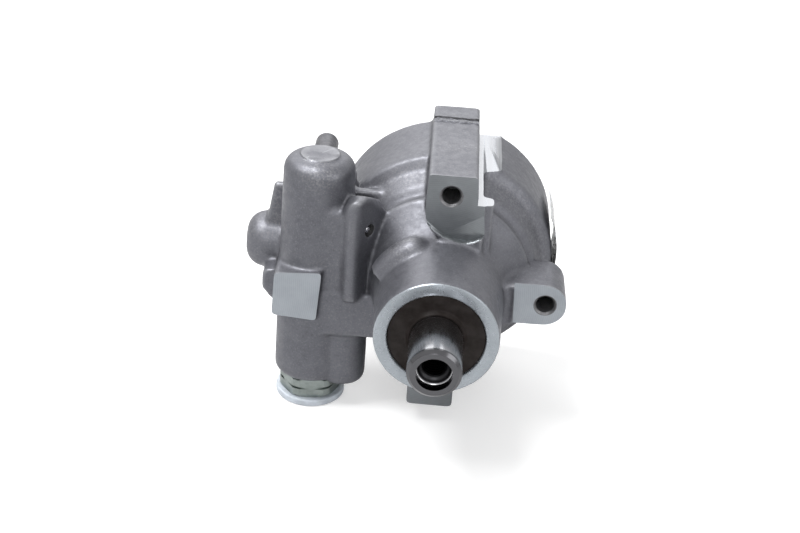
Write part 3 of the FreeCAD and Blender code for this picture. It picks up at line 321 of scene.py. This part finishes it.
def turned_look(name, colour, metallic, low, high):
    """Lathe-turned metal: close rings round the shaft's axis."""
    look = Look(name, metallic, (low + high) / 2)
    rings = look.add("ShaderNodeTexWave")
    rings.wave_type = "RINGS"
    rings.rings_direction = "Y"
    look.link(look.place, rings.inputs["Vector"])
    rings.inputs["Scale"].default_value = 900
    rings.inputs["Distortion"].default_value = 0.6
    cloud = look.grain(120, 3.0, 0.6)
    pale = tuple(min(1, 1.12 * channel) for channel in colour)
    tone = look.blend(look.spread(cloud, 0.3, 0.7), (*colour, 1), (*pale, 1))
    look.base(look.blend(look.maths("MULTIPLY", rings.outputs["Fac"], 0.12), tone, (*pale, 1)))
    look.rough(look.spread(look.grain(600, 2.0), 0.3, 0.7, low, high))
    look.bump([(rings.outputs["Fac"], 0.01, 0.4)])
    return look.material


def shaft_look():
    """Ground dark steel, duller inside the tapped bore, where the thread shows as rings; painted
    near black there as shade.
    """
    look = Look("shaft_look", 1.0, 0.2)
    across = look.add("ShaderNodeVectorMath")
    across.operation = "LENGTH"
    look.link(look.stretched((1, 0, 1)), across.inputs[0])
    inside = look.spread(across.outputs["Value"], 6.3 * MM, 5.9 * MM)
    cloud = look.grain(160, 3.0, 0.6)
    tone = look.blend(look.spread(cloud, 0.3, 0.7), (0.4, 0.4, 0.415, 1), (0.46, 0.46, 0.475, 1))
    tip = min(point.co.y for point in nodes["drive_shaft"].data.vertices)
    face = look.spread(look.along(1), tip + 2.4 * MM, tip + 1.8 * MM)
    tone = look.blend(face, tone, (0.1, 0.1, 0.106, 1))
    # Painted shade: near black inside the tapped bore.
    look.base(look.blend(inside, tone, (0.03, 0.03, 0.032, 1)))
    look.rough(look.maths("ADD", look.spread(look.grain(500, 2.0), 0.3, 0.7, 0.15, 0.21),
                          look.maths("MULTIPLY", inside, 0.18)))
    turns = look.add("ShaderNodeTexWave")
    turns.wave_type = "BANDS"
    turns.bands_direction = "Y"
    look.link(look.place, turns.inputs["Vector"])
    turns.inputs["Scale"].default_value = 209
    look.bump([(look.maths("MULTIPLY", turns.outputs["Fac"], inside), 0.3, 0.5),
               (look.grain(2400, 2.0), 0.004, 0.3)])
    return look.material


def label_look():
    """Bare foil label: silvery where its top stands off, black and glossy below."""
    look = Look("label_look", 0.0, 0.2)
    height = look.along(2)
    creases = look.grain(1, 2.0, 0.5, look.stretched((90, 60, 420)))
    top = look.spread(look.maths("ADD", height, look.maths("MULTIPLY", creases, 0.004)),
                      LABEL_BREAK * MM, (LABEL_BREAK + 0.8) * MM)
    foil = look.blend(look.spread(creases, 0.4, 0.6), (0.1, 0.103, 0.11, 1), (0.45, 0.46, 0.48, 1))
    look.base(look.blend(top, (0.01, 0.01, 0.011, 1), foil))
    look.rough(look.spread(look.grain(260, 2.0), 0.3, 0.7, 0.14, 0.3))
    look.bump([(creases, 0.5, 0.7), (look.grain(900, 2.0), 0.01, 0.3)])
    return look.material


def flat_look():
    """The long milled strip: nearly white, with cutter streaks along Y."""
    look = Look("milled_strip_look", 0.9, 0.3)
    streaks = look.grain(1, 3.0, 0.7, look.stretched((900, 9, 900)))
    wide = look.grain(1, 2.0, 0.5, look.stretched((260, 4, 260)))
    tone = look.blend(look.spread(streaks, 0.35, 0.65), (0.26, 0.268, 0.285, 1),
                      (0.35, 0.356, 0.37, 1))
    look.base(look.blend(look.spread(wide, 0.35, 0.7, 0.0, 0.5), tone, (0.29, 0.3, 0.32, 1)))
    look.rough(look.spread(streaks, 0.3, 0.7, 0.24, 0.4))
    look.bump([(streaks, 0.012, 0.5)])
    return look.material


def plain_look(name, colour, metallic, low, high, size=300.0, depth=0.02):
    """A quiet material with a little cloud in colour and roughness and a fine bump."""
    look = Look(name, metallic, (low + high) / 2)
    cloud = look.grain(size, 3.0, 0.6)
    pale = tuple(min(1, 1.3 * channel + 0.01) for channel in colour)
    look.base(look.blend(look.spread(cloud, 0.35, 0.65), (*colour, 1), (*pale, 1)))
    look.rough(look.spread(look.grain(size * 3, 2.0), 0.3, 0.7, low, high))
    look.bump([(look.grain(size * 5, 2.0, 0.6), depth, 0.4)])
    return look.material


# --- mesh helpers -------------------------------------------------------------------------------

def new_piece(name, mesh):
    piece = bpy.data.objects.new(name, mesh)
    bpy.context.scene.collection.objects.link(piece)
    return piece


def mesh_of(name, bm):
    mesh = bpy.data.meshes.new(name)
    bmesh.ops.recalc_face_normals(bm, faces=bm.faces)
    bm.to_mesh(mesh)
    bm.free()
    return mesh


def lathe(corners, steps=96, middle=(0, 0, 0), axis="Y"):
    """A closed turned solid. Each corner is (radius, place along the axis), in mm."""
    bm = bmesh.new()
    rows = []
    for radius, along in corners:
        if radius == 0:
            rows.append([bm.verts.new((0, 0, along))])
            continue
        rows.append([
            bm.verts.new((radius * math.cos(2 * math.pi * k / steps),
                          radius * math.sin(2 * math.pi * k / steps), along))
            for k in range(steps)
        ])
    for first, second in zip(rows, rows[1:]):
        for k in range(steps):
            near = [first[k % len(first)], first[(k + 1) % len(first)]]
            far = [second[(k + 1) % len(second)], second[k % len(second)]]
            ring = list(dict.fromkeys(near + far))
            if len(ring) > 2:
                bm.faces.new(ring)
    turn = Matrix.Rotation(math.radians(-90), 4, "X") if axis == "Y" else Matrix.Identity(4)
    bm.transform(Matrix.Translation(Vector(middle) * MM) @ turn @ Matrix.Scale(MM, 4))
    return bm


def prism(outline, low, high, axis="Y"):
    """A closed prism. The outline is in x and z for a prism along Y, in x and y along Z."""
    bm = bmesh.new()
    ends = []
    for level in (low, high):
        corners = [(a, level, b) if axis == "Y" else (a, b, level) for a, b in outline]
        ends.append([bm.verts.new([c * MM for c in corner]) for corner in corners])
    bm.faces.new(ends[0])
    bm.faces.new(ends[1])
    count = len(outline)
    for k in range(count):
        after = (k + 1) % count
        bm.faces.new([ends[0][k], ends[0][after], ends[1][after], ends[1][k]])
    return bm


def rod(radius, low, high):
    """Corners of a plain round rod, for lathe."""
    return [(0, low), (radius, low), (radius, high), (0, high)]


def combine(piece, other, operation, transfer=False):
    """Boolean with another object, which is used up."""
    step = piece.modifiers.new("combine", "BOOLEAN")
    step.operation = operation
    step.solver = "MANIFOLD"
    step.object = other
    step.material_mode = "TRANSFER" if transfer else "INDEX"
    apply_modifiers(piece)
    mesh = other.data
    bpy.data.objects.remove(other)
    bpy.data.meshes.remove(mesh)


def apply_modifiers(piece):
    graph = bpy.context.evaluated_depsgraph_get()
    made = bpy.data.meshes.new_from_object(piece.evaluated_get(graph), depsgraph=graph)
    piece.modifiers.clear()
    old = piece.data
    piece.data = made
    bpy.data.meshes.remove(old)


def cutter(name, bm, material):
    tool = new_piece(name, mesh_of(name, bm))
    tool.data.materials.append(material)
    return tool


# --- the casting --------------------------------------------------------------------------------

def rough_casting(solid):
    """The housing with its bores filled and a machining allowance on every milled face."""
    bm = bmesh.new()
    bm.from_mesh(solid)
    machined = [
        (Vector((0, -1, 0)), -MOUNT_PLANE, FRONT_ALLOWANCE),
        (Vector((0, -1, 0)), 0.0, FRONT_ALLOWANCE),
        (Vector((0, 0, 1)), FLAT_HEIGHT, ALLOWANCE),
        (Vector((0, 1, 0)), REAR_FACE, ALLOWANCE),
    ]
    for normal, reach, allowance in machined:
        faces = [face for face in bm.faces
                 if face.normal.dot(normal) > 0.999
                 and abs(face.calc_center_median().dot(normal) / MM - reach) < 0.01]
        grown = bmesh.ops.extrude_face_region(bm, geom=faces)["geom"]
        corners = [item for item in grown if isinstance(item, bmesh.types.BMVert)]
        bmesh.ops.translate(bm, vec=normal * allowance * MM, verts=corners)
    bolt_fill = rod(4.6, 28.9, 49.2)
    fills = [
        lathe(rod(SEAL_BORE, -2.4, 54.5)),
        lathe([(0, 53.6), (PUMP_BORE, 53.6), (PUMP_BORE, COVER_START), (COVER_BORE, COVER_START),
               (COVER_BORE, 96.3), (0, 96.3)]),
        lathe(rod(11.6, -44.4, 38.4), 64, (*BARREL, 0), "Z"),
        lathe(bolt_fill, 48, (TOP_HOLE[0], 0, TOP_HOLE[1])),
        lathe(bolt_fill, 48, (EAR_HOLE[0], 0, EAR_HOLE[1])),
    ]
    for fill in fills:
        part = bpy.data.meshes.new("fill")
        bmesh.ops.recalc_face_normals(fill, faces=fill.faces)
        fill.to_mesh(part)
        fill.free()
        bm.from_mesh(part)
        bpy.data.meshes.remove(part)
    mesh = bpy.data.meshes.new("rough_casting")
    bm.to_mesh(mesh)
    bm.free()
    return mesh


def flare_radius(y):
    """Radius of the turned outline between the flare and the body, y in mm."""
    steps = [(40, 29.5), (44.4, 33.4), (45.9, 33.4), (46.6, 32.7), (49.3, 32.7), (51.9, 35.3),
             (58.8, 38.4), (62.2, 42.5), (70, 42.5)]
    for (y0, r0), (y1, r1) in zip(steps, steps[1:]):
        if y0 <= y <= y1:
            return r0 + (r1 - r0) * (y - y0) / (y1 - y0)
    return None


def softness(x, y, z):
    """How far the casting's corners are rounded here, from 0 to 1."""
    radius = flare_radius(y)
    if radius is not None and abs(math.hypot(x, z) - radius) < 0.6:
        return 0.3
    if z > 46.5 and -9 < x < 12:
        return 0.45
    return 1.0


def roughen(mesh):
    """Slight unevenness of the mould, up to a tenth of a millimetre."""
    normals = [point.normal.copy() for point in mesh.vertices]
    places = [point.co.copy() for point in mesh.vertices]
    flat = []
    for place, normal in zip(places, normals):
        lift = noise.noise(place * 170) * 0.07 + noise.noise(place * 60) * 0.06
        flat.extend(place + normal * lift * MM)
    mesh.vertices.foreach_set("co", flat)
    mesh.update()


def plug_mouth():
    """Hole in the pillar's slanting face, over the pressed-in ball."""
    bm = lathe([(0, -1.2), (2.45, -1.2), (2.45, 2.2), (2.7, 2.9), (2.7, 6), (0, 6)], 48, axis="Z")
    turn = Vector(PILLAR_FACE).to_track_quat("Z", "Y").to_matrix().to_4x4()
    bm.transform(Matrix.Translation(Vector(BALL_PLUG) * MM) @ turn)
    return bm


def flash_line(y, z, thick, wander=0.7):
    """Ragged seam left across the top block by the joint of the mould, in mm."""
    start, width, count = -7.0, 17.2, 48
    bm = bmesh.new()
    rows = []
    for k in range(count + 1):
        x = start + width * k / count
        drift = noise.noise(Vector((x * 0.45, y, 0))) * wander
        lift = thick * (0.8 + 0.5 * noise.noise(Vector((x * 0.9, 7, y))))
        half = thick * (1.0 + 0.6 * noise.noise(Vector((x * 0.7, 3, y))))
        corners = [(y + drift - half, z - 0.6), (y + drift - 0.4 * half, z + lift),
                   (y + drift + 0.4 * half, z + lift), (y + drift + half, z - 0.6)]
        rows.append([bm.verts.new((x * MM, a * MM, b * MM)) for a, b in corners])
    for first, second in zip(rows, rows[1:]):
        for k in range(4):
            bm.faces.new([first[k], first[(k + 1) % 4], second[(k + 1) % 4], second[k]])
    bm.faces.new(rows[0])
    bm.faces.new(rows[-1])
    return bm


def thread_profile():
    """Corners of a tapped hole's thread, as rings at its pitch."""
    first, last = 32.3, 46.0
    corners = [(0, 31.9)]
    y = first
    while y < last:
        corners += [(THREAD_CORE, y), (THREAD_MAJOR, y + 0.5), (THREAD_MAJOR, y + 0.65),
                    (THREAD_CORE, y + 1.15)]
        y += THREAD_PITCH
    return corners + [(0, corners[-1][1])]


def cad_housing():
    """The CAD's housing as one closed mesh."""
    solid = bmesh.new()
    solid.from_mesh(nodes["housing"].data)
    bmesh.ops.remove_doubles(solid, verts=solid.verts, dist=1e-6)
    mesh = bpy.data.meshes.new("cad_housing")
    solid.to_mesh(mesh)
    solid.free()
    return mesh


def blended_casting(cad):
    """The rough casting with the mould's rounded corners and slight unevenness."""
    piece = new_piece("cast_housing", rough_casting(cad))
    remesh = piece.modifiers.new("grid", "REMESH")
    remesh.mode = "VOXEL"
    remesh.voxel_size = GRID * MM
    apply_modifiers(piece)
    group = piece.vertex_groups.new(name="soft")
    levels = {}
    for point in piece.data.vertices:
        x, y, z = (c / MM for c in point.co)
        levels.setdefault(softness(x, y, z), []).append(point.index)
    for level, members in levels.items():
        group.add(members, level, "REPLACE")
    smooth = piece.modifiers.new("blend", "SMOOTH")
    smooth.vertex_group = "soft"
    smooth.factor = 0.5
    smooth.iterations = BLEND_ROUNDS
    apply_modifiers(piece)
    roughen(piece.data)
    piece.vertex_groups.clear()
    piece.data.materials.clear()
    return piece


def add_mould_marks(piece, cast):
    """The disc on the barrel's dome, and on the top block the ragged mould seam, painted near
    black as shade, and the ridge beside it.
    """
    disc = lathe([(0, DISC_TOP - 2.5), (DISC_RADIUS, DISC_TOP - 2.5),
                  (DISC_RADIUS, DISC_TOP - 0.3), (DISC_RADIUS - 0.3, DISC_TOP), (0, DISC_TOP)],
                 96, (*BARREL, 0), "Z")
    combine(piece, cutter("dome_disc", disc, cast), "UNION")
    # The seam's near-black colour is painted shade, the dark line that a small step casts there.
    seam_shade = plain_look("flash_line_shade_look", (0.03, 0.03, 0.034), 0.4, 0.5, 0.7, 500)
    combine(piece, cutter("flash_line", flash_line(82.2, 49.1, 0.45), seam_shade), "UNION", True)
    combine(piece, cutter("bead", flash_line(79.6, 49.0, 0.5, 0.25), cast), "UNION", True)


def machine_bores(piece, cad, turned, bore):
    """Cut each bore as a region less the CAD, so that it has the CAD's steps and grooves."""
    bolt_region = rod(4.35, 25, 50.5)
    regions = [
        (turned, lathe([(0, -6), (23.4, -6), (23.4, 0.7), (SEAL_BORE, 0.7), (SEAL_BORE, 54.2),
                        (0, 54.2)], 160)),
        (turned, lathe([(0, 53.8), (PUMP_BORE, 53.8), (PUMP_BORE, COVER_START),
                        (COVER_BORE, COVER_START), (COVER_BORE, 95.5), (0, 95.5)], 160)),
        (bore, lathe([(0, -52), (12.55, -52), (12.55, -44.4), (11.5, -44.4), (11.5, 38.6),
                      (0, 38.6)], 96, (*BARREL, 0), "Z")),
        (bore, lathe(bolt_region, 64, (TOP_HOLE[0], 0, TOP_HOLE[1]))),
        (bore, lathe(bolt_region, 64, (EAR_HOLE[0], 0, EAR_HOLE[1]))),
    ]
    for count, (material, region) in enumerate(regions):
        tool = cutter(f"bore_tool_{count}", region, material)
        combine(tool, new_piece("keep", cad.copy()), "DIFFERENCE")
        combine(piece, tool, "DIFFERENCE", True)
    rear = lathe(rod(62, REAR_FACE, 99), 96)
    combine(piece, cutter("rear_facing", rear, turned), "DIFFERENCE", True)


def mill_faces(piece):
    """Mill the four mounting faces and the strip beside the top block."""
    milled = milled_look("milled_pad_look", (0.25, 0.27, 0.294), (0.3, 0.322, 0.348))
    # A dimmer copy of the milled pad look for the top and tab pads: painted dark reflection.
    painted_reflection_milled = milled_look("milled_painted_reflection_look", (0.155, 0.166, 0.175), (0.19, 0.202, 0.213))
    top = [(-12, 54), (-12, 32.4), (-8.4, 32.0), (-5, 28.4), (-0.5, 25.4), (5, 23.9), (8.3, 23.5),
           (11, 24.2), (13.6, 25.8), (16, 27.5), (16, 54)]
    ear = [(26.9, 12), (28.3, -13), (54, -13), (54, 12)]
    pad = [(-70, 7.5), (-70, -30), (-43.4, -30), (-43.4, 7.5)]
    tab = [(-14, -54), (14, -54), (14, -25.8), (-14, -25.8)]
    for name, outline, face in (("top", top, painted_reflection_milled), ("ear", ear, milled), ("pad", pad, milled),
                                ("tab", tab, painted_reflection_milled)):
        combine(piece, cutter(f"{name}_mill", prism(outline, 24, MOUNT_PLANE), face),
                "DIFFERENCE", True)
    strip = [(10.95, 30.5), (50, 30.5), (50, 99), (10.95, 99)]
    combine(piece, cutter("strip_mill", prism(strip, FLAT_HEIGHT, 50, "Z"), flat_look()),
            "DIFFERENCE", True)


def drill_holes(piece, bore):
    """Open the ball plug's hole and tap the two M8 holes."""
    # Near-black painted shade inside the ball plug's hole.
    plug_hole_shade = plain_look("plug_hole_shade_look", (0.012, 0.012, 0.013), 0.2, 0.5, 0.7, 500)
    combine(piece, cutter("plug_mouth_tool", plug_mouth(), plug_hole_shade), "DIFFERENCE", True)
    for across, up in (TOP_HOLE, EAR_HOLE):
        thread = lathe(thread_profile(), 48, (across, 0, up))
        combine(piece, cutter("thread_tool", thread, bore), "DIFFERENCE", True)


def cast_housing():
    """The casting: blended corners left by the mould, crisp faces and bores cut afterwards."""
    cad = cad_housing()
    piece = blended_casting(cad)
    cast = cast_look()
    piece.data.materials.append(cast)
    add_mould_marks(piece, cast)
    turned = turned_look("turned_face_look", (0.29, 0.315, 0.34), 0.85, 0.24, 0.36)
    bore = plain_look("bore_look", (0.12, 0.12, 0.125), 0.8, 0.3, 0.45)
    machine_bores(piece, cad, turned, bore)
    mill_faces(piece)
    drill_holes(piece, bore)
    bpy.data.meshes.remove(cad)
    # Only the cast skin is shaded smooth: each machined face stays flat.
    piece.data.polygons.foreach_set(
        "use_smooth", [face.material_index == 0 for face in piece.data.polygons])
    piece.data.set_sharp_from_angle(angle=math.radians(32))
    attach(piece, "pump_body")
    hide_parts("housing")


def paint(name, material):
    node = nodes[name]
    node.data.materials.clear()
    node.data.materials.append(material)


def dress_nodes():
    paint("drive_shaft", shaft_look())
    seal = plain_look("seal_look", (0.008, 0.005, 0.004), 0.0, 0.4, 0.55, 200)
    seal.node_tree.nodes["Principled BSDF"].inputs["Specular IOR Level"].default_value = 0.15
    paint("shaft_seal", seal)
    ground = turned_look("ground_steel_look", (0.45, 0.45, 0.47), 1.0, 0.2, 0.3)
    sintered = plain_look("sintered_look", (0.25, 0.25, 0.26), 0.85, 0.45, 0.6, 900, 0.03)
    spring = plain_look("spring_look", (0.3, 0.3, 0.32), 1.0, 0.25, 0.35, 400, 0.01)
    rubber = plain_look("ring_rubber_look", (0.02, 0.02, 0.021), 0.0, 0.4, 0.55, 300)
    paint("rotor", ground)
    for number in range(1, 11):
        paint(f"vane_{number:02d}", ground)
    for name in ("flow_valve", "relief_seat", "relief_ball", "dowel_pins", "ball_plug"):
        paint(name, ground)
    for name in ("thrust_plate", "pump_ring", "pressure_plate"):
        paint(name, sintered)
    for name in ("seal_garter_spring", "plate_spring", "rotor_snap_ring", "cover_retaining_ring",
                 "flow_valve_spring", "relief_spring"):
        paint(name, spring)
    for name in ("pressure_plate_oring", "end_cover_oring", "union_oring"):
        paint(name, rubber)
    paint("shaft_bushing", plain_look("bronze_look", (0.45, 0.33, 0.16), 1.0, 0.3, 0.45, 300))
    paint("end_cover", turned_look("cover_look", (0.4, 0.4, 0.42), 1.0, 0.3, 0.45))
    paint("union_fitting",
          plain_look("zinc_look", (0.21, 0.235, 0.225), 0.95, 0.3, 0.48, 260, 0.02))
    paint("shipping_cap", plain_look("cap_look", (0.42, 0.455, 0.5), 0.0, 0.35, 0.5, 160, 0.02))
    paint("return_tube", plain_look("tube_look", (0.07, 0.07, 0.078), 0.9, 0.35, 0.5, 260, 0.03))
    paint("label", label_look())


def main():
    add_camera()
    add_floor()
    add_world()
    add_lamps()
    bpy.context.scene.view_settings.view_transform = "Standard"
    cast_housing()
    dress_nodes()


main()
